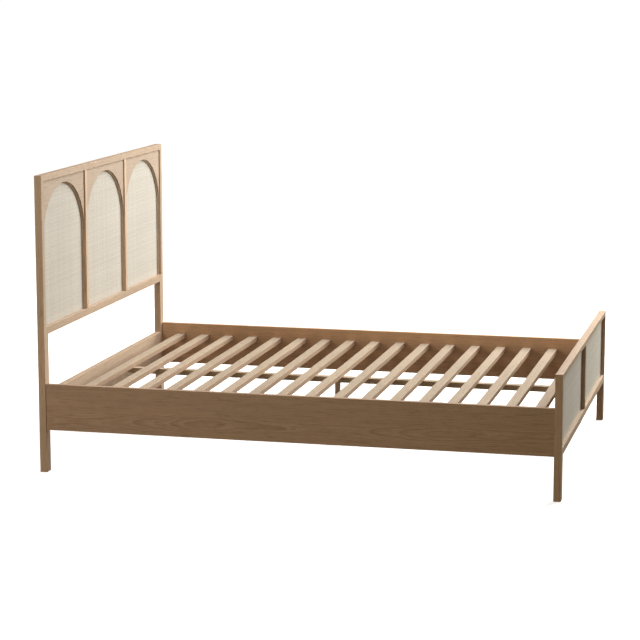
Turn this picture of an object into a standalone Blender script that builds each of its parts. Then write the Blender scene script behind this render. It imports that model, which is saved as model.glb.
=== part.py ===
"""Wooden double bed frame with a three-arch woven headboard and a low woven footboard.

Frame: +Y runs from the footboard to the headboard, X = 0 is the plane of symmetry and
+Z is up. The origin is on the floor, at the centre of the footprint. Left is -X.
Both end frames are made alike: two posts with a top and a bottom rail tenoned into them,
rebated from the side that faces -Y, with a woven sheet on a backing board in the rebate
and flat mullions over it.
"""

import math

import bmesh
import bpy
from mathutils import Matrix, Vector

# Driving dimensions, in metres.
LENGTH = 2.100
WIDTH = 1.556
HEAD_HEIGHT = 1.197
FOOT_HEIGHT = 0.494
JOINT_GAP = 0.0003

# Posts, and the frame stock around the panels with its tenons.
POST_WIDTH = 0.045
POST_DEPTH = 0.029
FACE_WIDTH = 0.025
REBATE_WIDTH = POST_WIDTH - FACE_WIDTH
REBATE_DEPTH = 0.0235
TENON_LENGTH = 0.018
TENON_THICKNESS = 0.009
TENON_SHOULDER = 0.0045
TENON_ROOT = 0.006

# Side rails with their stub tenons, and the two cross rails.
RAIL_THICKNESS = 0.022
RAIL_BOTTOM = 0.174
RAIL_TOP = 0.361
RAIL_SETBACK = 0.003
STUB_LENGTH = 0.012
STUB_THICKNESS = 0.010
STUB_SHOULDER = 0.020
HEAD_CROSS_TOP = 0.320
HEAD_CROSS_THICKNESS = 0.026
HEAD_CROSS_TENON = (0.260, 0.306)
FOOT_CROSS_HEIGHT = 0.110
FOOT_CROSS_THICKNESS = 0.025

# Slat deck.
SLAT_COUNT = 17
SLAT_WIDTH = 0.040
SLAT_THICKNESS = 0.020
SLAT_PITCH = 0.1162
SLAT_TOP = 0.313
SLAT_HEAD_GAP = 0.0755
SLAT_TONGUE_LENGTH = 0.008
SLAT_TONGUE_DROP = 0.003

# Centre beam, and its leg with a steel stud at the top and a plastic glide below.
BEAM_WIDTH = 0.035
BEAM_HEIGHT = 0.023
BEAM_END_INSET = 0.004
LEG_SIZE = 0.020
STUD_RADIUS = 0.004
STUD_LENGTH = 0.034
GLIDE_RADIUS = 0.0085
GLIDE_HEIGHT = 0.002

# Arched fronts of the headboard: a thin board over a narrow stepped bead.
ARCH_SPRING = 0.923
ARCH_RISE = 0.224
ARCH_TIP = 0.0015
ARCH_BOARD_RECESS = 0.0055
ARCH_BOARD_THICKNESS = 0.0048
BEAD_THICKNESS = 0.0062
BEAD_LIP = 0.004
BEAD_COVER = 0.004
ARCH_STEPS = 32

# Corner brackets and their bolts.
BRACKET_LEG = 0.025
BRACKET_HEIGHT = 0.020
BRACKET_THICKNESS = 0.002
BRACKET_MIDDLE = 0.2505
BRACKET_HOLE_AT_END = 0.010
BRACKET_HOLE_AT_RAIL = 0.016
BOLT_RADIUS = 0.0025
BOLT_HEAD_RADIUS = 0.0045
BOLT_HEAD_HEIGHT = 0.0025
BOLT_LENGTH = 0.014
CLEARANCE = 0.0003
ROUND_SIDES = 16

# The two end frames. The front of each one faces -Y.
HEAD = {
    "name": "head",
    "front": LENGTH / 2 - POST_DEPTH,
    "height": HEAD_HEIGHT,
    "bottom_rail": 0.558,
    "bottom_face": 0.030,
    "top_face": 0.025,
    "panel_recess": 0.0171,
    "mullions": ("mullion_left", "mullion_right"),
}
FOOT = {
    "name": "foot",
    "front": -LENGTH / 2,
    "height": FOOT_HEIGHT,
    "bottom_rail": 0.175,
    "bottom_face": 0.030,
    "top_face": 0.022,
    "panel_recess": 0.0145,
    "mullions": ("mullion",),
}
WOVEN_THICKNESS = 0.0012

# Derived places.
HALF_WIDTH = WIDTH / 2
HEAD_FRONT = HEAD["front"]
FOOT_INNER = FOOT["front"] + POST_DEPTH
POST_INNER_X = HALF_WIDTH - POST_WIDTH
FACE_INNER_X = HALF_WIDTH - FACE_WIDTH
RAIL_INNER_X = HALF_WIDTH - RAIL_SETBACK - RAIL_THICKNESS
SUPPORT_TOP = SLAT_TOP - SLAT_THICKNESS - JOINT_GAP
BEAM_BOTTOM = SUPPORT_TOP - BEAM_HEIGHT
FOOT_CROSS_INNER = FOOT_INNER + JOINT_GAP + FOOT_CROSS_THICKNESS
SIDES = {"left": -1, "right": 1}

# Colour, roughness and metallic value of each finish.
FINISHES = {
    "oak": ((0.56, 0.40, 0.27), 0.55, 0.0),
    "slat_wood": ((0.53, 0.42, 0.32), 0.60, 0.0),
    "woven": ((0.70, 0.64, 0.56), 0.80, 0.0),
    "steel": ((0.55, 0.55, 0.56), 0.35, 1.0),
    "plastic": ((0.06, 0.05, 0.05), 0.60, 0.0),
}


def clear_scene():
    for obj in list(bpy.data.objects):
        bpy.data.objects.remove(obj, do_unlink=True)


def make_collection(name):
    collection = bpy.data.collections.new(name)
    bpy.context.scene.collection.children.link(collection)
    return collection


clear_scene()
PARTS = make_collection("bed_frame")
CUTTERS = make_collection("cutters")
CUTTERS.hide_render = True


def make_material(name, finish):
    colour, roughness, metallic = FINISHES[finish]
    material = bpy.data.materials.new(name)
    material.use_nodes = True
    shader = material.node_tree.nodes["Principled BSDF"]
    shader.inputs["Base Color"].default_value = (*colour, 1.0)
    shader.inputs["Roughness"].default_value = roughness
    shader.inputs["Metallic"].default_value = metallic
    material.diffuse_color = (*colour, 1.0)
    return material


def add_part(name, mesh, finish, matrix):
    """Puts a mesh or a curve in the bed's collection as one named sub-part."""
    part = bpy.data.objects.new(name, mesh)
    part.matrix_world = matrix
    if not mesh.materials:
        mesh.materials.append(make_material(name, finish))
    PARTS.objects.link(part)
    return part


def use_helper(part, name, mesh, matrix, operation="DIFFERENCE"):
    """Cuts a helper solid from a part, or joins it to the part with UNION."""
    helper = bpy.data.objects.new(name, mesh)
    helper.matrix_world = matrix
    helper.display_type = "WIRE"
    helper.hide_render = True
    CUTTERS.objects.link(helper)
    modifier = part.modifiers.new(name, "BOOLEAN")
    modifier.operation = operation
    modifier.solver = "EXACT"
    modifier.object = helper


def box_between(name, low, high):
    """A box mesh about its own centre, and the matrix that puts it between two corners."""
    low, high = Vector(low), Vector(high)
    mesh = bpy.data.meshes.new(name)
    shape = bmesh.new()
    bmesh.ops.create_cube(shape, size=1.0, matrix=Matrix.Diagonal((*(high - low), 1.0)))
    shape.to_mesh(mesh)
    shape.free()
    return mesh, Matrix.Translation((low + high) / 2)


def add_box(name, low, high, finish="oak"):
    mesh, matrix = box_between(name, low, high)
    return add_part(name, mesh, finish, matrix)


def cut_box(part, name, low, high):
    use_helper(part, name, *box_between(name, low, high))


def join_box(part, name, low, high):
    use_helper(part, name, *box_between(name, low, high), "UNION")


def across(side, near, far, low_y, high_y, low_z, high_z):
    """The corners of a box whose X range is mirrored to the left or the right side."""
    near, far = SIDES[side] * near, SIDES[side] * far
    return (min(near, far), low_y, low_z), (max(near, far), high_y, high_z)


def turned_mesh(name, profile):
    """A solid of revolution about +Z. The profile is (radius, height), top to bottom."""
    mesh = bpy.data.meshes.new(name)
    edges = [(i, i + 1) for i in range(len(profile) - 1)]
    mesh.from_pydata([(radius, 0, height) for radius, height in profile], edges, [])
    blank = bpy.data.objects.new(name, mesh)
    PARTS.objects.link(blank)
    screw = blank.modifiers.new("turn", "SCREW")
    screw.steps = ROUND_SIDES
    screw.render_steps = ROUND_SIDES
    screw.use_merge_vertices = True
    screw.merge_threshold = 0.00001
    depsgraph = bpy.context.evaluated_depsgraph_get()
    turned = bpy.data.meshes.new_from_object(blank.evaluated_get(depsgraph))
    turned.shade_smooth()
    turned.set_sharp_from_angle(angle=math.radians(40))
    bpy.data.objects.remove(blank, do_unlink=True)
    return turned


def rod_mesh(name, radius, length):
    """A plain rod from height 0 down to -length."""
    return turned_mesh(name, [(0, 0), (radius, 0), (radius, -length), (0, -length)])


def aimed(place, direction):
    """The matrix that puts local +Z along a direction, at a place."""
    turn = Vector((0, 0, 1)).rotation_difference(Vector(direction))
    return Matrix.Translation(place) @ turn.to_matrix().to_4x4()


def outline_part(name, points, thickness, front, finish="oak"):
    """A flat board in the XZ plane from its outline, with its front face at y = front."""
    curve = bpy.data.curves.new(name, "CURVE")
    curve.dimensions = "2D"
    curve.fill_mode = "BOTH"
    curve.extrude = thickness / 2
    spline = curve.splines.new("POLY")
    spline.points.add(len(points) - 1)
    for point, (x, z) in zip(spline.points, points):
        point.co = (x, z, 0, 1)
    spline.use_cyclic_u = True
    upright = Matrix.Rotation(math.radians(90), 4, "X")
    return add_part(name, curve, finish, Matrix.Translation((0, front + thickness / 2, 0)) @ upright)


def bay_edges(end):
    """The low and high X of each panel opening, left to right, between the mullions."""
    mullions = len(end["mullions"])
    opening = (2 * FACE_INNER_X - mullions * FACE_WIDTH) / (mullions + 1)
    lows = [-FACE_INNER_X + i * (opening + FACE_WIDTH) for i in range(mullions + 1)]
    return [(low, low + opening) for low in lows]


def add_tenons(rail, posts, low_z, high_z):
    """A tenon at both ends of a rail, and the mortise for it in each post."""
    low_y = HEAD_FRONT if rail.location.y > 0 else FOOT["front"]
    low_y += (POST_DEPTH - TENON_THICKNESS) / 2
    high_y = low_y + TENON_THICKNESS
    gap = CLEARANCE
    for side, post in zip(SIDES, posts):
        root, tip = POST_INNER_X - TENON_ROOT, POST_INNER_X + TENON_LENGTH
        tenon = across(side, root, tip, low_y, high_y, low_z, high_z)
        join_box(rail, f"{rail.name}_tenon_{side}", *tenon)
        mortise = across(side, root, tip + gap, low_y - gap, high_y + gap, low_z - gap, high_z + gap)
        cut_box(post, f"{rail.name}_mortise_{side}", *mortise)


def add_end_frame(end):
    """Posts, rails, mullions, woven sheet and backing board of one end of the bed."""
    name, front, back = end["name"], end["front"], end["front"] + POST_DEPTH
    before, rebate_back = front - REBATE_WIDTH, front + REBATE_DEPTH
    panel_low = end["bottom_rail"] + end["bottom_face"]
    panel_high = end["height"] - end["top_face"]
    posts = []
    for side in SIDES:
        size = across(side, POST_INNER_X, HALF_WIDTH, front, back, 0, end["height"])
        post = add_box(f"{name}_post_{side}", *size)
        inside = POST_INNER_X - REBATE_WIDTH
        rebate = across(side, inside, FACE_INNER_X, before, rebate_back, panel_low, panel_high)
        cut_box(post, f"{post.name}_rebate", *rebate)
        posts.append(post)

    rail_x = POST_INNER_X - JOINT_GAP
    bottom_rail = add_box(
        f"{name}_bottom_rail",
        (-rail_x, front, end["bottom_rail"]),
        (rail_x, back, panel_low + REBATE_WIDTH),
    )
    top_rail = add_box(
        f"{name}_top_rail",
        (-rail_x, front, panel_high - REBATE_WIDTH),
        (rail_x, back, end["height"]),
    )
    for rail in (bottom_rail, top_rail):
        rebate = (-HALF_WIDTH, before, panel_low), (HALF_WIDTH, rebate_back, panel_high)
        cut_box(rail, f"{rail.name}_rebate", *rebate)
    inset = TENON_SHOULDER
    add_tenons(bottom_rail, posts, end["bottom_rail"] + inset, panel_low - inset)
    add_tenons(top_rail, posts, panel_high + inset, end["height"] - inset)

    low_z, high_z = panel_low + JOINT_GAP, panel_high - JOINT_GAP
    woven_front = front + end["panel_recess"]
    woven_back = woven_front + WOVEN_THICKNESS
    for mullion, (_, low_x) in zip(end["mullions"], bay_edges(end)):
        add_box(
            f"{name}_{mullion}",
            (low_x, front, low_z),
            (low_x + FACE_WIDTH, woven_front - JOINT_GAP, high_z),
        )
    panel_x = FACE_INNER_X - JOINT_GAP
    add_box(
        f"{name}_woven_sheet",
        (-panel_x, woven_front, low_z),
        (panel_x, woven_back, high_z),
        "woven",
    )
    add_box(
        f"{name}_backing_board",
        (-panel_x, woven_back + JOINT_GAP, low_z),
        (panel_x, rebate_back - JOINT_GAP, high_z),
    )
    return posts


def half_ellipse(centre, half_span, rise):
    """Points over an arch from its right springing to its left one."""
    angles = [math.pi * i / ARCH_STEPS for i in range(ARCH_STEPS + 1)]
    return [(centre + half_span * math.cos(a), ARCH_SPRING + rise * math.sin(a)) for a in angles]


def add_arches():
    """An arched board, and a stepped bead behind its edge, in each bay of the headboard."""
    bottom = HEAD["bottom_rail"] + HEAD["bottom_face"] + JOINT_GAP
    top = HEAD_HEIGHT - HEAD["top_face"] - JOINT_GAP
    board_front = HEAD_FRONT + ARCH_BOARD_RECESS
    bead_front = board_front + ARCH_BOARD_THICKNESS + JOINT_GAP
    for bay, (low_x, high_x) in zip(("left", "centre", "right"), bay_edges(HEAD)):
        centre = (low_x + high_x) / 2
        outer = (high_x - low_x) / 2 - JOINT_GAP
        board = half_ellipse(centre, outer - ARCH_TIP, ARCH_RISE)
        board += [(centre - outer, ARCH_SPRING), (centre - outer, top)]
        board += [(centre + outer, top), (centre + outer, ARCH_SPRING)]
        outline_part(f"head_arch_board_{bay}", board, ARCH_BOARD_THICKNESS, board_front)

        inner = outer - ARCH_TIP - BEAD_LIP
        bead = half_ellipse(centre, outer, ARCH_RISE + BEAD_COVER)
        bead += [(centre - outer, bottom), (centre - inner, bottom)]
        bead += reversed(half_ellipse(centre, inner, ARCH_RISE - BEAD_LIP))
        bead += [(centre + inner, bottom), (centre + outer, bottom)]
        outline_part(f"head_arch_bead_{bay}", bead, BEAD_THICKNESS, bead_front)


def slat_places():
    """The Y of the middle of each slat, from the headboard on."""
    first = HEAD_FRONT - SLAT_HEAD_GAP - SLAT_WIDTH / 2
    return [first - number * SLAT_PITCH for number in range(SLAT_COUNT)]


def housings_mesh(name):
    """One box for each slat end, to cut all the housings of a side rail at once."""
    shape = bmesh.new()
    gap = JOINT_GAP
    depth = SLAT_TONGUE_LENGTH + gap
    height = SLAT_THICKNESS - SLAT_TONGUE_DROP
    middle = SLAT_TOP - SLAT_THICKNESS + height / 2
    size = Matrix.Diagonal((2 * depth, SLAT_WIDTH + 2 * gap, height + 2 * gap, 1.0))
    for y in slat_places():
        bmesh.ops.create_cube(shape, size=1.0, matrix=Matrix.Translation((0, y, middle)) @ size)
    mesh = bpy.data.meshes.new(name)
    shape.to_mesh(mesh)
    shape.free()
    return mesh


def add_side_rails(posts):
    """The two side rails, with a stub tenon at each end and a housing for each slat end."""
    rails = []
    gap = CLEARANCE
    outer_x = HALF_WIDTH - RAIL_SETBACK
    stub_near = (RAIL_INNER_X + outer_x - STUB_THICKNESS) / 2
    stub_far = stub_near + STUB_THICKNESS
    low_z, high_z = RAIL_BOTTOM + STUB_SHOULDER, RAIL_TOP - STUB_SHOULDER
    for side, sign in SIDES.items():
        y_range = FOOT_INNER + JOINT_GAP, HEAD_FRONT - JOINT_GAP
        size = across(side, RAIL_INNER_X, outer_x, *y_range, RAIL_BOTTOM, RAIL_TOP)
        rail = add_box(f"side_rail_{side}", *size)
        for end, shoulder, outward in (("foot", FOOT_INNER, -1), ("head", HEAD_FRONT, 1)):
            root, tip = shoulder - outward * STUB_LENGTH, shoulder + outward * STUB_LENGTH
            y_range = min(root, tip), max(root, tip)
            stub = across(side, stub_near, stub_far, *y_range, low_z, high_z)
            join_box(rail, f"{rail.name}_stub_{end}", *stub)
            y_range = y_range[0] - gap, y_range[1] + gap
            mortise = across(side, stub_near - gap, stub_far + gap, *y_range, low_z - gap, high_z + gap)
            cut_box(posts[end, side], f"{rail.name}_stub_mortise_{end}", *mortise)
        housings = f"{rail.name}_slat_housings"
        place = Matrix.Translation((sign * RAIL_INNER_X, 0, 0))
        use_helper(rail, housings, housings_mesh(housings), place)
        rails.append(rail)
    return rails


def add_cross_rails(head_posts):
    """The head cross rail is tenoned into its posts. The foot one lies against its posts."""
    head_x = POST_INNER_X - JOINT_GAP
    head_cross = add_box(
        "head_cross_rail",
        (-head_x, HEAD_FRONT, RAIL_BOTTOM),
        (head_x, HEAD_FRONT + HEAD_CROSS_THICKNESS, HEAD_CROSS_TOP),
    )
    add_tenons(head_cross, head_posts, *HEAD_CROSS_TENON)
    foot_x = RAIL_INNER_X - JOINT_GAP
    foot_cross = add_box(
        "foot_cross_rail",
        (-foot_x, FOOT_INNER + JOINT_GAP, SUPPORT_TOP - FOOT_CROSS_HEIGHT),
        (foot_x, FOOT_CROSS_INNER, SUPPORT_TOP),
    )
    return foot_cross


def add_centre_support():
    """The beam ties all the slats together from below, and a leg stands under its middle."""
    beam_x = BEAM_WIDTH / 2
    reach = SLAT_WIDTH / 2 - BEAM_END_INSET
    first, *_, last = slat_places()
    low, high = (-beam_x, last - reach, BEAM_BOTTOM), (beam_x, first + reach, SUPPORT_TOP)
    beam = add_box("centre_beam", low, high, "slat_wood")
    leg_x, leg_top = LEG_SIZE / 2, BEAM_BOTTOM - JOINT_GAP
    low, high = (-leg_x, -leg_x, GLIDE_HEIGHT), (leg_x, leg_x, leg_top)
    leg = add_box("centre_leg", low, high, "slat_wood")
    stud_top = BEAM_BOTTOM + STUD_LENGTH / 2
    stud = rod_mesh("centre_leg_stud", STUD_RADIUS, STUD_LENGTH)
    socket = rod_mesh("stud_socket", STUD_RADIUS + CLEARANCE, STUD_LENGTH + 2 * CLEARANCE)
    add_part("centre_leg_stud", stud, "steel", Matrix.Translation((0, 0, stud_top)))
    for part in (beam, leg):
        socket_top = Matrix.Translation((0, 0, stud_top + CLEARANCE))
        use_helper(part, f"{part.name}_socket", socket, socket_top)
    glide_top = GLIDE_HEIGHT - JOINT_GAP
    glide = rod_mesh("centre_leg_glide", GLIDE_RADIUS, glide_top)
    add_part("centre_leg_glide", glide, "plastic", Matrix.Translation((0, 0, glide_top)))


def add_slats():
    """The slats span the side rails. A tongue below each end sits in its housing."""
    tip, shoulder = RAIL_INNER_X + SLAT_TONGUE_LENGTH, RAIL_INNER_X - JOINT_GAP
    bottom, step = SLAT_TOP - SLAT_THICKNESS, SLAT_TOP - SLAT_TONGUE_DROP
    right = [(tip, bottom), (tip, step), (shoulder, step), (shoulder, SLAT_TOP)]
    outline = right + [(-x, z) for x, z in reversed(right)]
    for number, y in enumerate(slat_places(), 1):
        outline_part(f"slat_{number:02d}", outline, SLAT_WIDTH, y - SLAT_WIDTH / 2, "slat_wood")


def bolt_meshes():
    """A bolt whose head seats at height 0, and the hole that its shank needs."""
    profile = [(0, BOLT_HEAD_HEIGHT), (BOLT_HEAD_RADIUS, BOLT_HEAD_HEIGHT), (BOLT_HEAD_RADIUS, 0)]
    profile += [(BOLT_RADIUS, 0), (BOLT_RADIUS, -BOLT_LENGTH), (0, -BOLT_LENGTH)]
    hole = rod_mesh("bolt_hole", BOLT_RADIUS + CLEARANCE, BOLT_LENGTH + 2 * CLEARANCE)
    return turned_mesh("bolt", profile), hole


def add_corner_brackets(rails, end_hosts):
    """A steel angle in each corner, bolted to the side rail and to the end frame."""
    leg, plate, half_height = BRACKET_LEG, BRACKET_THICKNESS, BRACKET_HEIGHT / 2
    mesh, centred = box_between("bracket", (0, 0, -half_height), (leg, leg, half_height))
    mesh.transform(centred)
    inside = (plate, plate, -leg), (leg + plate, leg + plate, leg)
    bolt, hole = bolt_meshes()
    for (side, sign), rail in zip(SIDES.items(), rails):
        for end, wall, facing in (("foot", FOOT_CROSS_INNER, 1), ("head", HEAD_FRONT, -1)):
            corner = (sign * (RAIL_INNER_X - JOINT_GAP), wall + facing * JOINT_GAP, BRACKET_MIDDLE)
            # Half a turn about one axis keeps the one bracket for all four corners.
            turned = Matrix.Diagonal((-sign, facing, -sign * facing, 1))
            place = Matrix.Translation(corner) @ turned
            bracket = add_part(f"corner_bracket_{end}_{side}", mesh, "steel", place)
            inner, centred = box_between(f"{bracket.name}_inside", *inside)
            use_helper(bracket, inner.name, inner, place @ centred)
            end_seat = aimed((BRACKET_HOLE_AT_END, plate + CLEARANCE, 0), (0, 1, 0))
            rail_seat = aimed((plate + CLEARANCE, BRACKET_HOLE_AT_RAIL, 0), (1, 0, 0))
            host = end_hosts[end, side]
            for target, seat, part in (("end", end_seat, host), ("rail", rail_seat, rail)):
                name = f"bracket_bolt_{end}_{side}_{target}"
                add_part(name, bolt, "steel", place @ seat)
                hole_seat = place @ seat @ Matrix.Translation((0, 0, CLEARANCE))
                use_helper(bracket, f"{name}_bracket_hole", hole, hole_seat)
                use_helper(part, f"{name}_wood_hole", hole, hole_seat)


head_posts = add_end_frame(HEAD)
foot_posts = add_end_frame(FOOT)
add_arches()
all_posts = {
    (end, side): post
    for end, posts in (("head", head_posts), ("foot", foot_posts))
    for side, post in zip(SIDES, posts)
}
side_rails = add_side_rails(all_posts)
foot_cross_rail = add_cross_rails(head_posts)
add_centre_support()
add_slats()
bolted_to = {
    ("head", "left"): head_posts[0],
    ("head", "right"): head_posts[1],
    ("foot", "left"): foot_cross_rail,
    ("foot", "right"): foot_cross_rail,
}
add_corner_brackets(side_rails, bolted_to)
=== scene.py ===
"""Looks of the wooden double bed frame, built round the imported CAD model.

Wood members keep their CAD shape and get eased edges and a three-dimensional oak
material. The woven sheets are rebuilt here strand by strand, and the bolts with a hexagon
socket and rings in place of their thread.
"""

import math

import bmesh
import bpy
import numpy as np
from mathutils import Matrix, Vector


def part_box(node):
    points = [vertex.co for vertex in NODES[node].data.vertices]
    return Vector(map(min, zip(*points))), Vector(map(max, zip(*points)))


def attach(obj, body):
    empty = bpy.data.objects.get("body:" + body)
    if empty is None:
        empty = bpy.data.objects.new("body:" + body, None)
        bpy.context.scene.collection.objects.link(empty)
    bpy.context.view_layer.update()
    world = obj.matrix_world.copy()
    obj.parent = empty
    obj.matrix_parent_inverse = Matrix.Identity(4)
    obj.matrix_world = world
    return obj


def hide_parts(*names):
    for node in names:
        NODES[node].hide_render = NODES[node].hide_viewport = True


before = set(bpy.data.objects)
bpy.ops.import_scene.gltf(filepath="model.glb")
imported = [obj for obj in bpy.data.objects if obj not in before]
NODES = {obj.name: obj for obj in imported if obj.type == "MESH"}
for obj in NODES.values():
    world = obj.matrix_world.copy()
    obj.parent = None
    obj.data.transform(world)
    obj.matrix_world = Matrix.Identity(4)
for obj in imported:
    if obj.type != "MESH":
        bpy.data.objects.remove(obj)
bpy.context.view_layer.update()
SCENE = bpy.context.scene

# ---------------------------------------------------------------- camera

CAMERA_PLACE = (-8.62267, -1.99009, 2.01582)
CAMERA_YAW = 1.335440
CAMERA_PITCH = 0.165777
CAMERA_LENS = 119.39


def add_camera():
    data = bpy.data.cameras.new("camera")
    data.sensor_width = 36.0
    data.lens = CAMERA_LENS
    data.clip_end = 1000.0
    camera = bpy.data.objects.new("camera", data)
    camera.location = CAMERA_PLACE
    camera.rotation_euler = (math.pi / 2 - CAMERA_PITCH, 0.0, -CAMERA_YAW)
    SCENE.collection.objects.link(camera)
    SCENE.camera = camera


# ---------------------------------------------------------------- material graph helpers


class Graph:
    """Short names for the shader nodes that the materials below use."""

    def __init__(self, name):
        self.material = bpy.data.materials.new(name)
        self.material.use_nodes = True
        self.tree = self.material.node_tree
        self.shader = self.tree.nodes["Principled BSDF"]

    def node(self, kind, **settings):
        node = self.tree.nodes.new(kind)
        for key, value in settings.items():
            setattr(node, key, value)
        return node

    def put(self, socket, value):
        if isinstance(value, bpy.types.NodeSocket):
            self.tree.links.new(value, socket)
        else:
            socket.default_value = value

    def math(self, operation, a, b=0.0):
        node = self.node("ShaderNodeMath", operation=operation)
        self.put(node.inputs[0], a)
        self.put(node.inputs[1], b)
        return node.outputs[0]

    def split(self, vector):
        node = self.node("ShaderNodeSeparateXYZ")
        self.put(node.inputs[0], vector)
        return node.outputs

    def join(self, x, y, z):
        node = self.node("ShaderNodeCombineXYZ")
        for socket, value in zip(node.inputs, (x, y, z)):
            self.put(socket, value)
        return node.outputs[0]

    def scaled(self, parts, factors):
        """A vector from three sockets, each times its own factor."""
        x, y, z = (self.math("MULTIPLY", part, factor) for part, factor in zip(parts, factors))
        return self.join(x, y, z)

    def noise(self, vector, scale=1.0, detail=2.0, roughness=0.5):
        node = self.node("ShaderNodeTexNoise")
        self.put(node.inputs["Vector"], vector)
        node.inputs["Scale"].default_value = scale
        node.inputs["Detail"].default_value = detail
        node.inputs["Roughness"].default_value = roughness
        return node.outputs["Fac"]

    def ramp(self, value, low, high, out_low=0.0, out_high=1.0, smooth=True):
        """value from low..high to out_low..out_high, clamped at both ends."""
        node = self.node("ShaderNodeMapRange")
        node.interpolation_type = "SMOOTHSTEP" if smooth else "LINEAR"
        for socket, number in zip(node.inputs, (value, low, high, out_low, out_high)):
            self.put(socket, number)
        return node.outputs[0]

    def mix(self, factor, a, b, blend="MIX"):
        node = self.node("ShaderNodeMix", data_type="RGBA", blend_type=blend)
        self.put(node.inputs[0], factor)
        for socket, value in ((node.inputs[6], a), (node.inputs[7], b)):
            is_colour = isinstance(value, tuple) and len(value) == 3
            self.put(socket, (*value, 1.0) if is_colour else value)
        return node.outputs[2]

    def shade(self, colour, factor):
        """A colour times a grey factor."""
        return self.mix(1.0, colour, self.join(factor, factor, factor), "MULTIPLY")

    def bump(self, height, strength, distance):
        node = self.node("ShaderNodeBump")
        node.inputs["Strength"].default_value = strength
        node.inputs["Distance"].default_value = distance
        self.put(node.inputs["Height"], height)
        self.put(self.shader.inputs["Normal"], node.outputs[0])

    def edge_mask(self, radius):
        """1 on an edge within radius, 0 on flat faces."""
        bevel = self.node("ShaderNodeBevel", samples=4)
        bevel.inputs["Radius"].default_value = radius
        geometry = self.node("ShaderNodeNewGeometry")
        dot = self.node("ShaderNodeVectorMath", operation="DOT_PRODUCT")
        self.put(dot.inputs[0], bevel.outputs[0])
        self.put(dot.inputs[1], geometry.outputs["True Normal"])
        return self.ramp(dot.outputs["Value"], 0.995, 0.80)

    def place(self):
        return self.split(self.node("ShaderNodeTexCoord").outputs["Object"])


# ---------------------------------------------------------------- wood

# Light and dark wood of the growth rings, and the pores, as linear colours.
OAK = {"light": (0.605, 0.450, 0.332), "dark": (0.465, 0.321, 0.218), "pore": (0.24, 0.14, 0.08)}
RAIL = {"light": (0.575, 0.402, 0.292), "dark": (0.430, 0.277, 0.184), "pore": (0.24, 0.14, 0.08)}
# WARM_RAIL is a redder copy of RAIL for the far side rail: painted shade colour, standing in for the
# warm light in the shade on its inner face.
WARM_RAIL = {"light": (0.655, 0.422, 0.268), "dark": (0.490, 0.290, 0.169), "pore": (0.25, 0.14, 0.08)}
VENEER = {"light": (0.560, 0.428, 0.332), "dark": (0.520, 0.389, 0.296), "pore": (0.42, 0.30, 0.21)}
# BEAD is oak made about a third paler: painted light that lifts the shaded inner sides of the arch
# beads.
BEAD = {"light": (0.740, 0.610, 0.480), "dark": (0.660, 0.530, 0.405), "pore": (0.42, 0.31, 0.21)}
SLAT = {"light": (0.531, 0.423, 0.319), "dark": (0.469, 0.361, 0.264), "pore": (0.32, 0.23, 0.15)}

# Colour that the side and end faces of a slat are multiplied by: painted shade, darker and warmer than
# its top.
SIDE_SHADE_TINT = (0.97, 0.84, 0.78)

# Which two axes lie across the grain, for each grain axis.
ACROSS = {"X": (1, 2), "Y": (0, 2), "Z": (0, 1)}


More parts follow.
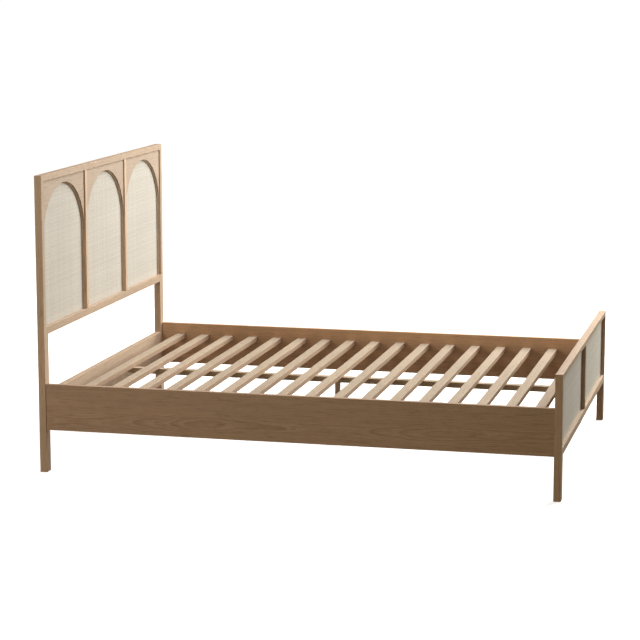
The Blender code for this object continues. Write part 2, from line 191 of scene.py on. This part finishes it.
def wood_material(name, wood, grain, centre, seed, flat_axis, tone, shaded_sides=False):
    """Oak as a solid: growth rings round a pith outside the piece, fibres and pores.

    The pith lies off the wide face, so the rings cross that face at a low angle and leave
    cathedral figures, and show as straight lines on the narrow faces.
    """
    random = np.random.default_rng(seed)
    g = Graph(name)
    xyz = g.place()
    along = xyz["XYZ".index(grain)]
    one, two = ACROSS[grain]
    pith = [float(random.uniform(0.025, 0.055)) * random.choice((-1, 1)) for _ in range(2)]
    if flat_axis is not None:
        pith[(one, two).index("XYZ".index(flat_axis))] = float(random.uniform(0.09, 0.15))
    shift = float(random.uniform(-50, 50))
    a = g.math("ADD", xyz[one], pith[0] - centre[one])
    b = g.math("ADD", xyz[two], pith[1] - centre[two])
    tilt = float(random.uniform(0.006, 0.014)) * random.choice((-1, 1))
    length = g.math("ADD", along, shift)
    b = g.math("ADD", b, g.math("MULTIPLY", along, tilt))

    sway = g.noise(g.scaled((a, b, length), (1.2, 1.2, 0.85)), 1.0, 2.0, 0.45)
    waver = g.noise(g.scaled((a, b, length), (22.0, 22.0, 9.0)), 1.0, 3.0, 0.55)
    radius = g.math("SQRT", g.math("ADD", g.math("POWER", a, 2.0), g.math("POWER", b, 2.0)))
    radius = g.math("ADD", radius, g.math("MULTIPLY", g.math("SUBTRACT", sway, 0.5), 0.075))
    radius = g.math("ADD", radius, g.math("MULTIPLY", g.math("SUBTRACT", waver, 0.5), 0.0040))
    rings = g.math("DIVIDE", radius, float(random.uniform(0.0019, 0.0027)))
    phase = g.math("FRACT", rings)
    late = g.math("MULTIPLY", g.ramp(phase, 0.15, 0.85), g.ramp(phase, 1.0, 0.93))
    year = g.noise(g.join(g.math("FLOOR", rings), shift, 0.0), 0.77, 0.0)
    late = g.math("MULTIPLY", late, g.ramp(year, 0.30, 0.70, 0.45, 1.0))

    fibre = g.noise(g.scaled((a, b, length), (850.0, 850.0, 14.0)), 1.0, 3.0, 0.6)
    streak = g.noise(g.scaled((a, b, length), (160.0, 160.0, 2.2)), 1.0, 2.0, 0.5)
    dash = g.noise(g.scaled((a, b, length), (330.0, 330.0, 17.0)), 1.0, 2.0, 0.55)
    pores = g.noise(g.scaled((a, b, length), (1500.0, 1500.0, 55.0)), 1.0, 1.0, 0.5)
    pore = g.math("MULTIPLY", g.ramp(pores, 0.60, 0.70), g.ramp(late, 0.75, 0.15, 0.25, 1.0))
    cloud = g.noise(g.scaled((a, b, length), (5.0, 5.0, 1.6)), 1.0, 2.0, 0.5)

    colour = g.mix(g.math("MULTIPLY", late, 0.70), wood["light"], wood["dark"])
    colour = g.mix(g.math("MULTIPLY", pore, 0.42), colour, wood["pore"])
    factor = g.ramp(fibre, 0.25, 0.75, 0.92, 1.06, smooth=False)
    factor = g.math("MULTIPLY", factor, g.ramp(streak, 0.25, 0.75, 0.93, 1.06, smooth=False))
    factor = g.math("MULTIPLY", factor, g.ramp(dash, 0.50, 0.74, 1.03, 0.76))
    factor = g.math("MULTIPLY", factor, g.ramp(cloud, 0.25, 0.75, 0.94, 1.06, smooth=False))
    # Painted shade: the faces of a slat that don't face up or down are darker and warmer.
    if shaded_sides:
        geometry = g.node("ShaderNodeNewGeometry")
        upward = g.math("ABSOLUTE", g.split(geometry.outputs["True Normal"])[2])
        tint = g.mix(g.ramp(upward, 0.2, 0.8), SIDE_SHADE_TINT, (1.0, 1.0, 1.0))
        colour = g.mix(1.0, colour, tint, "MULTIPLY")
    # Handled edges are a little lighter, in places.
    edge = g.math("MULTIPLY", g.edge_mask(0.0022), g.ramp(streak, 0.35, 0.65, 0.25, 0.8))
    factor = g.math("MULTIPLY", factor, g.ramp(edge, 0.0, 1.0, tone, 1.14 * tone, smooth=False))
    g.put(g.shader.inputs["Base Color"], g.shade(colour, factor))

    rough = g.ramp(fibre, 0.25, 0.75, 0.50, 0.60, smooth=False)
    rough = g.math("ADD", rough, g.math("MULTIPLY", pore, 0.14))
    rough = g.math("SUBTRACT", rough, g.math("MULTIPLY", edge, 0.08))
    g.put(g.shader.inputs["Roughness"], rough)
    g.shader.inputs["Specular IOR Level"].default_value = 0.35
    height = g.math("SUBTRACT", g.math("MULTIPLY", fibre, 0.35), pore)
    height = g.math("ADD", height, g.math("MULTIPLY", late, 0.35))
    g.bump(height, 0.35, 0.00025)
    return g.material


WELD_DISTANCE = 0.00002
EDGE_SEGMENTS = 3
SHARP_ANGLE = math.radians(35)


def ease_edges(node, width):
    """Rounds a CAD node's sharp edges a little, as sanding does."""
    weld = node.modifiers.new("weld", "WELD")
    weld.merge_threshold = WELD_DISTANCE
    bevel = node.modifiers.new("eased_edges", "BEVEL")
    bevel.width = width
    bevel.segments = EDGE_SEGMENTS
    bevel.limit_method = "ANGLE"
    bevel.angle_limit = SHARP_ANGLE
    # Keeps the flat faces flat to the light, so that only the eased edges look round.
    normals = node.modifiers.new("face_normals", "WEIGHTED_NORMAL")
    normals.weight = 100


def dress(name, material):
    node = NODES[name]
    node.data.materials.clear()
    node.data.materials.append(material)
    return node


# Wood, grain axis, wide face's axis, edge radius in metres and tone of each wooden member.
WOODEN_MEMBERS = {
    "head_post_left": (OAK, "Z", "Y", 0.0011, 1.05),
    "head_post_right": (OAK, "Z", "Y", 0.0011, 1.02),
    "head_top_rail": (OAK, "X", "Y", 0.0011, 1.00),
    "head_bottom_rail": (OAK, "X", "Y", 0.0011, 0.99),
    "head_cross_rail": (OAK, "X", "Y", 0.0011, 1.05),
    # The mullions' tone above 1 is painted light: it lifts their side faces, which lie in shade in the
    # recess.
    "head_mullion_left": (OAK, "Z", "Y", 0.0007, 1.30),
    "head_mullion_right": (OAK, "Z", "Y", 0.0007, 1.31),
    "head_arch_board_left": (VENEER, "X", "Y", 0.0005, 1.00),
    "head_arch_board_centre": (VENEER, "X", "Y", 0.0005, 0.99),
    "head_arch_board_right": (VENEER, "X", "Y", 0.0005, 1.01),
    "head_arch_bead_left": (BEAD, "Z", "Y", 0.0027, 1.00),
    "head_arch_bead_centre": (BEAD, "Z", "Y", 0.0027, 0.99),
    "head_arch_bead_right": (BEAD, "Z", "Y", 0.0027, 1.01),
    "head_backing_board": (VENEER, "X", "Y", 0.0003, 0.97),
    "foot_post_left": (OAK, "Z", "Y", 0.0011, 1.00),
    "foot_post_right": (OAK, "Z", "Y", 0.0011, 1.02),
    "foot_top_rail": (OAK, "X", "Y", 0.0011, 0.98),
    "foot_bottom_rail": (OAK, "X", "Y", 0.0011, 0.99),
    "foot_cross_rail": (OAK, "X", "Y", 0.0011, 0.97),
    "foot_mullion": (OAK, "Z", "Y", 0.0007, 1.01),
    "foot_backing_board": (VENEER, "X", "Y", 0.0003, 0.97),
    "side_rail_left": (RAIL, "Y", "X", 0.0013, 0.95),
    # The far side rail's redder wood and its tone are painted shade colour.
    "side_rail_right": (WARM_RAIL, "Y", "X", 0.0013, 1.04),
    "centre_beam": (SLAT, "Y", "Z", 0.0010, 1.08),
    "centre_leg": (SLAT, "Z", None, 0.0010, 0.98),
}
SLATS = [f"slat_{number:02d}" for number in range(1, 18)]


def add_wood():
    random = np.random.default_rng(7)
    members = dict(WOODEN_MEMBERS)
    for name in SLATS:
        members[name] = (SLAT, "X", "Z", 0.0010, float(random.uniform(0.965, 1.035)))
    for seed, (name, (wood, grain, flat_axis, width, tone)) in enumerate(members.items(), 11):
        low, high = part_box(name)
        centre = (low + high) / 2
        shade_sides = name in SLATS
        material = wood_material(f"wood_{name}", wood, grain, centre, seed, flat_axis, tone, shade_sides)
        ease_edges(dress(name, material), width)


# ---------------------------------------------------------------- metal and plastic


def steel_material(name, blotch_scale=1.0):
    g = Graph(name)
    xyz = g.place()
    brushed = g.noise(g.scaled(xyz, (60.0, 60.0, 1400.0)), 1.0, 2.0, 0.6)
    blotch = g.noise(g.scaled(xyz, (45.0, 45.0, 45.0)), blotch_scale, 3.0, 0.6)
    colour = g.mix(g.ramp(blotch, 0.35, 0.68), (0.56, 0.57, 0.58), (0.44, 0.44, 0.43))
    colour = g.mix(g.math("MULTIPLY", g.edge_mask(0.0008), 0.5), colour, (0.74, 0.74, 0.74))
    g.put(g.shader.inputs["Base Color"], colour)
    g.shader.inputs["Metallic"].default_value = 1.0
    rough = g.ramp(brushed, 0.25, 0.75, 0.26, 0.42, smooth=False)
    g.put(g.shader.inputs["Roughness"], g.math("ADD", rough, g.math("MULTIPLY", blotch, 0.08)))
    g.bump(brushed, 0.12, 0.0001)
    return g.material


def plastic_material(name):
    g = Graph(name)
    xyz = g.place()
    grain = g.noise(g.scaled(xyz, (900.0, 900.0, 900.0)), 1.0, 2.0, 0.5)
    scuff = g.noise(g.scaled(xyz, (120.0, 300.0, 120.0)), 1.0, 3.0, 0.6)
    colour = g.mix(g.ramp(scuff, 0.5, 0.8), (0.035, 0.032, 0.03), (0.09, 0.085, 0.08))
    g.put(g.shader.inputs["Base Color"], colour)
    g.put(g.shader.inputs["Roughness"], g.ramp(scuff, 0.3, 0.8, 0.48, 0.72, smooth=False))
    g.bump(grain, 0.2, 0.0001)
    return g.material


def ring(radius, height, count):
    """Points round a circle."""
    points = []
    for i in range(count):
        angle = math.tau * i / count
        points.append(Vector((radius * math.cos(angle), radius * math.sin(angle), height)))
    return points


def hex_ring(across_flats, height, count):
    """Points round a hexagon, one for each point of a round ring."""
    points = []
    for i in range(count):
        angle = math.tau * i / count
        off = (angle + math.pi / 6) % (math.pi / 3) - math.pi / 6
        radius = across_flats / 2 / math.cos(off)
        points.append(Vector((radius * math.cos(angle), radius * math.sin(angle), height)))
    return points


def lofted(name, rings):
    """A closed mesh through rings of equal count, from top to bottom, with both ends filled."""
    shape = bmesh.new()
    loops = [[shape.verts.new(point) for point in points] for points in rings]
    for upper, lower in zip(loops, loops[1:]):
        count = len(upper)
        for i in range(count):
            j = (i + 1) % count
            shape.faces.new((upper[i], lower[i], lower[j], upper[j]))
    shape.faces.new(loops[0])
    shape.faces.new(reversed(loops[-1]))
    bmesh.ops.recalc_face_normals(shape, faces=shape.faces)
    mesh = bpy.data.meshes.new(name)
    shape.to_mesh(mesh)
    shape.free()
    return mesh


BOLT_SIDES = 24
THREAD_PITCH = 0.0008
THREAD_TURNS = 13
BOLT_HEAD_HEIGHT = 0.0025


def bolt_mesh():
    """A low-head M5 bolt with a hexagon socket. Its head seats at height 0.

    Its thread is a row of separate rings, not a helix.
    """
    rings = [hex_ring(0.0030, 0.0008, BOLT_SIDES), hex_ring(0.0031, 0.0023, BOLT_SIDES)]
    rings += [hex_ring(0.0034, 0.0025, BOLT_SIDES), ring(0.0039, 0.0025, BOLT_SIDES)]
    rings += [ring(0.0043, 0.0023, BOLT_SIDES), ring(0.0045, 0.0020, BOLT_SIDES)]
    rings += [ring(0.0045, 0.0002, BOLT_SIDES), ring(0.0043, 0.0, BOLT_SIDES)]
    rings += [ring(0.0025, 0.0, BOLT_SIDES), ring(0.0025, -0.0025, BOLT_SIDES)]
    for turn in range(THREAD_TURNS):
        top = -0.0025 - turn * THREAD_PITCH
        rings.append(ring(0.0021, top - 0.3 * THREAD_PITCH, BOLT_SIDES))
        rings.append(ring(0.0025, top - 0.8 * THREAD_PITCH, BOLT_SIDES))
    rings.append(ring(0.0018, -0.0140, BOLT_SIDES))
    return lofted("bolt", rings)


def add_metal():
    zinc = steel_material("zinc_plated_steel")
    for end in ("head", "foot"):
        for side in ("left", "right"):
            ease_edges(dress(f"corner_bracket_{end}_{side}", zinc), 0.0005)
    dress("centre_leg_stud", zinc)
    dress("centre_leg_glide", plastic_material("glide_plastic"))

    mesh = bolt_mesh()
    mesh.materials.append(steel_material("bolt_steel", 3.0))
    mesh.shade_smooth()
    mesh.set_sharp_from_angle(angle=SHARP_ANGLE)
    for name in [name for name in NODES if name.startswith("bracket_bolt_")]:
        low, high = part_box(name)
        centre, size = (low + high) / 2, high - low
        axis = max(range(3), key=lambda i: size[i])
        outward = Vector((0, 0, 0))
        # A head points into the bed: away from its own corner.
        outward[axis] = -math.copysign(1, centre[axis])
        seat = centre + outward * (size[axis] / 2 - BOLT_HEAD_HEIGHT)
        bolt = bpy.data.objects.new(f"{name}_detailed", mesh)
        turn = Vector((0, 0, 1)).rotation_difference(outward)
        bolt.matrix_world = Matrix.Translation(seat) @ turn.to_matrix().to_4x4()
        SCENE.collection.objects.link(bolt)
        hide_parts(name)
        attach(bolt, "root")


# ---------------------------------------------------------------- woven sheets

# Spacing of the strands up the sheet and along it; how far a strand bulges and weaves; how
# flat its crown is; and how far the middle of the weave lies behind the sheet's front.
WEFT_PITCH = 0.00775
WARP_PITCH = 0.0086
CROWN = 0.00042
WAVE = 0.00034
CROWN_POWER = 2.2
SHEET_MIDDLE = 0.0006


def strand_profile(count, steps):
    """Cell number and place in the cell, from -0.5 to 0.5, of each grid line over count cells."""
    index = np.arange(count * steps + 1)
    return np.minimum(index // steps, count - 1), (index - (index // steps) * steps) / steps


def crown(place):
    """Rounded top of a strand across its width: 1 in the middle and 0 at both sides."""
    return 1.0 - np.abs(2.0 * place - 1.0) ** CROWN_POWER


def woven_material(name):
    g = Graph(name)
    xyz = g.place()

    def attribute(key):
        return g.node("ShaderNodeAttribute", attribute_name=key).outputs["Fac"]

    weft, tone = attribute("weft"), attribute("tone")
    lengthwise = g.noise(g.scaled(xyz, (28.0, 1.0, 1500.0)), 1.0, 3.0, 0.6)
    upright = g.noise(g.scaled(xyz, (1500.0, 1.0, 28.0)), 1.0, 3.0, 0.6)
    fibre = g.math("ADD", g.math("MULTIPLY", lengthwise, weft),
                   g.math("MULTIPLY", upright, g.math("SUBTRACT", 1.0, weft)))
    stain = g.noise(g.scaled(xyz, (55.0, 1.0, 160.0)), 1.0, 2.0, 0.5)
    cloud = g.noise(g.scaled(xyz, (3.0, 1.0, 5.0)), 1.0, 2.0, 0.5)
    pale = g.ramp(tone, 0.0, 1.0, smooth=False)
    colour = g.mix(pale, (0.636, 0.584, 0.523), (0.729, 0.689, 0.637))
    colour = g.mix(g.ramp(stain, 0.52, 0.75, 0.0, 0.35), colour, (0.560, 0.455, 0.330))
    factor = g.ramp(fibre, 0.25, 0.75, 0.91, 1.06, smooth=False)
    factor = g.math("MULTIPLY", factor, g.ramp(cloud, 0.25, 0.75, 0.97, 1.03, smooth=False))
    # Painted shade: the deep parts of the weave, in the grooves between and under the strands, are
    # darker.
    factor = g.math("MULTIPLY", factor, g.ramp(attribute("height"), 0.0, 0.55, 0.62, 1.0))
    g.put(g.shader.inputs["Base Color"], g.shade(colour, factor))
    g.put(g.shader.inputs["Roughness"], g.ramp(fibre, 0.25, 0.75, 0.62, 0.80, smooth=False))
    g.shader.inputs["Specular IOR Level"].default_value = 0.3
    g.bump(fibre, 0.4, 0.0002)
    return g.material


def woven_sheet(name, node, material, seed):
    """A plain weave of flat strands: each strand is crowned and dives under every other one."""
    low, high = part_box(node)
    columns = round((high.x - low.x) / WARP_PITCH)
    rows = round((high.z - low.z) / WEFT_PITCH)
    column, u = strand_profile(columns, 2)
    row, v = strand_profile(rows, 3)
    u, v = u[None, :], v[:, None]
    parity = (column[None, :] + row[:, None]) % 2
    sign = np.where(parity == 0, 1.0, -1.0)
    # Height of the horizontal and the vertical strand over the middle of the weave.
    weft = WAVE * sign * np.sin(np.pi * u) + CROWN * (crown(v) - 0.5)
    warp = -WAVE * sign * np.sin(np.pi * v) + CROWN * (crown(u) - 0.5)
    height = np.maximum(weft, warp)
    x = low.x + (high.x - low.x) * np.arange(height.shape[1]) / (height.shape[1] - 1)
    z = low.z + (high.z - low.z) * np.arange(height.shape[0]) / (height.shape[0] - 1)
    middle = low.y + SHEET_MIDDLE
    shape = height.shape
    points = np.stack([
        np.broadcast_to(x[None, :], shape), middle - height, np.broadcast_to(z[:, None], shape),
    ], axis=-1).reshape(-1, 3)
    across, up = shape[1], shape[0]
    first = (np.arange(up - 1)[:, None] * across + np.arange(across - 1)[None, :]).reshape(-1)
    faces = np.stack([first, first + 1, first + across + 1, first + across], axis=-1)
    mesh = bpy.data.meshes.new(name)
    mesh.vertices.add(len(points))
    mesh.vertices.foreach_set("co", points.astype(np.float32).reshape(-1))
    mesh.loops.add(faces.size)
    mesh.loops.foreach_set("vertex_index", faces.astype(np.int32).reshape(-1))
    mesh.polygons.add(len(faces))
    mesh.polygons.foreach_set("loop_start", np.arange(0, faces.size, 4, dtype=np.int32))
    mesh.update(calc_edges=True)
    mesh.shade_smooth()

    random = np.random.default_rng(seed)
    row_tone, column_tone = random.random(rows), random.random(columns)
    face_row, face_column = np.meshgrid(row[:-1], column[:-1], indexing="ij")
    is_weft = ((face_row + face_column) % 2 == 0).astype(np.float32)
    tone = np.where(is_weft > 0.5, row_tone[face_row], column_tone[face_column])
    # How far out each point of the weave stands, 0 deepest and 1 highest; the material paints shade on
    # the deep parts from it.
    depth = (height - height.min()) / (height.max() - height.min())
    layers = (("weft", "FACE", is_weft), ("tone", "FACE", tone), ("height", "POINT", depth))
    for key, domain, values in layers:
        layer = mesh.attributes.new(key, "FLOAT", domain)
        layer.data.foreach_set("value", values.astype(np.float32).reshape(-1))
    mesh.materials.append(material)
    sheet = bpy.data.objects.new(name, mesh)
    SCENE.collection.objects.link(sheet)
    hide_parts(node)
    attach(sheet, "root")


def add_woven_sheets():
    material = woven_material("woven_fibre")
    woven_sheet("head_weave", "head_woven_sheet", material, 3)
    woven_sheet("foot_weave", "foot_woven_sheet", material, 4)


# ---------------------------------------------------------------- stage and light


def add_area_light(name, place, target, size, energy, colour):
    """A rectangular light that points at a target and that the camera doesn't see."""
    data = bpy.data.lights.new(name, "AREA")
    data.shape = "RECTANGLE"
    data.size, data.size_y = size
    data.energy = energy
    data.color = colour
    light = bpy.data.objects.new(name, data)
    light.location = place
    light.rotation_euler = (Vector(target) - Vector(place)).to_track_quat("-Z", "Y").to_euler()
    light.visible_camera = False
    SCENE.collection.objects.link(light)


# The floor glows less under the bed, and fades to full over these distances from the middle.
FLOOR_GLOW = 1.0
FLOOR_GLOW_NEAR = 0.70
GLOW_FADE = (1.0, 4.5)
FLOOR_HALF_SIZE = 300.0
FLOOR_DROP = 0.0005
BACKDROP_RADIUS = 290.0


def add_stage():
    """A pale floor, and a white backdrop that only the camera sees."""
    g = Graph("pale_floor")
    g.shader.inputs["Base Color"].default_value = (0.88, 0.88, 0.88, 1.0)
    g.shader.inputs["Roughness"].default_value = 0.9
    g.shader.inputs["Specular IOR Level"].default_value = 0.1
    g.shader.inputs["Emission Color"].default_value = (1.0, 1.0, 1.0, 1.0)
    x, y, _ = g.place()
    distance = g.math("SQRT", g.math("ADD", g.math("POWER", x, 2.0), g.math("POWER", y, 2.0)))
    glow_strength = g.ramp(distance, *GLOW_FADE, FLOOR_GLOW_NEAR, FLOOR_GLOW)
    g.put(g.shader.inputs["Emission Strength"], glow_strength)
    shape = bmesh.new()
    bmesh.ops.create_grid(shape, x_segments=1, y_segments=1, size=FLOOR_HALF_SIZE)
    mesh = bpy.data.meshes.new("floor")
    shape.to_mesh(mesh)
    shape.free()
    mesh.materials.append(g.material)
    floor = bpy.data.objects.new("floor", mesh)
    floor.location.z = -FLOOR_DROP
    SCENE.collection.objects.link(floor)

    glow = bpy.data.materials.new("backdrop")
    glow.use_nodes = True
    glow.node_tree.nodes.clear()
    emission = glow.node_tree.nodes.new("ShaderNodeEmission")
    emission.inputs["Strength"].default_value = 1.0
    output = glow.node_tree.nodes.new("ShaderNodeOutputMaterial")
    glow.node_tree.links.new(emission.outputs[0], output.inputs["Surface"])
    shape = bmesh.new()
    bmesh.ops.create_uvsphere(shape, u_segments=48, v_segments=24, radius=BACKDROP_RADIUS)
    mesh = bpy.data.meshes.new("backdrop")
    shape.to_mesh(mesh)
    shape.free()
    mesh.materials.append(glow)
    backdrop = bpy.data.objects.new("backdrop", mesh)
    SCENE.collection.objects.link(backdrop)
    for thing in (floor, backdrop):
        thing.visible_diffuse = False
        thing.visible_glossy = False
        thing.visible_transmission = False
        thing.visible_shadow = False


# Name, place, target, size in metres, power in watts and colour of each area light.
AREA_LIGHTS = (
    ("key", (1.2, -1.0, 3.6), (0.2, 0.0, 0.3), (2.4, 4.0), 164.0, (1.0, 1.0, 1.0)),
    ("right_softbox", (4.5, -3.0, 2.2), (0.4, -0.6, 0.4), (2.5, 2.0), 276.0, (0.99, 1.0, 0.88)),
    ("head_fill", (-3.2, 2.4, 2.0), (-0.7, 0.8, 0.6), (1.5, 1.5), 35.0, (1.0, 0.92, 0.81)),
    ("side_fill", (-6.0, -0.5, 1.6), (0.0, 0.0, 0.5), (5.0, 2.5), 39.0, (1.0, 0.84, 0.44)),
    ("back_fill", (1.0, 5.5, 2.2), (0.0, 1.0, 0.6), (3.0, 2.0), 85.0, (1.0, 0.96, 0.9)),
    ("floor_bounce", (0.0, 0.0, -0.3), (0.0, 0.0, 1.0), (5.0, 5.5), 6.0, (1.0, 0.8, 0.6)),
)


def add_light():
    """Two large soft lights, overhead and off the right foot corner, with weaker fills round."""
    world = bpy.data.worlds.new("studio")
    SCENE.world = world
    world.use_nodes = True
    background = world.node_tree.nodes["Background"]
    background.inputs["Color"].default_value = (1.0, 0.70, 0.50, 1.0)
    background.inputs["Strength"].default_value = 0.06
    for light in AREA_LIGHTS:
        add_area_light(*light)


add_camera()
add_wood()
add_metal()
add_woven_sheets()
add_stage()
add_light()
SCENE.view_settings.view_transform = "Standard"
SCENE.view_settings.look = "None"
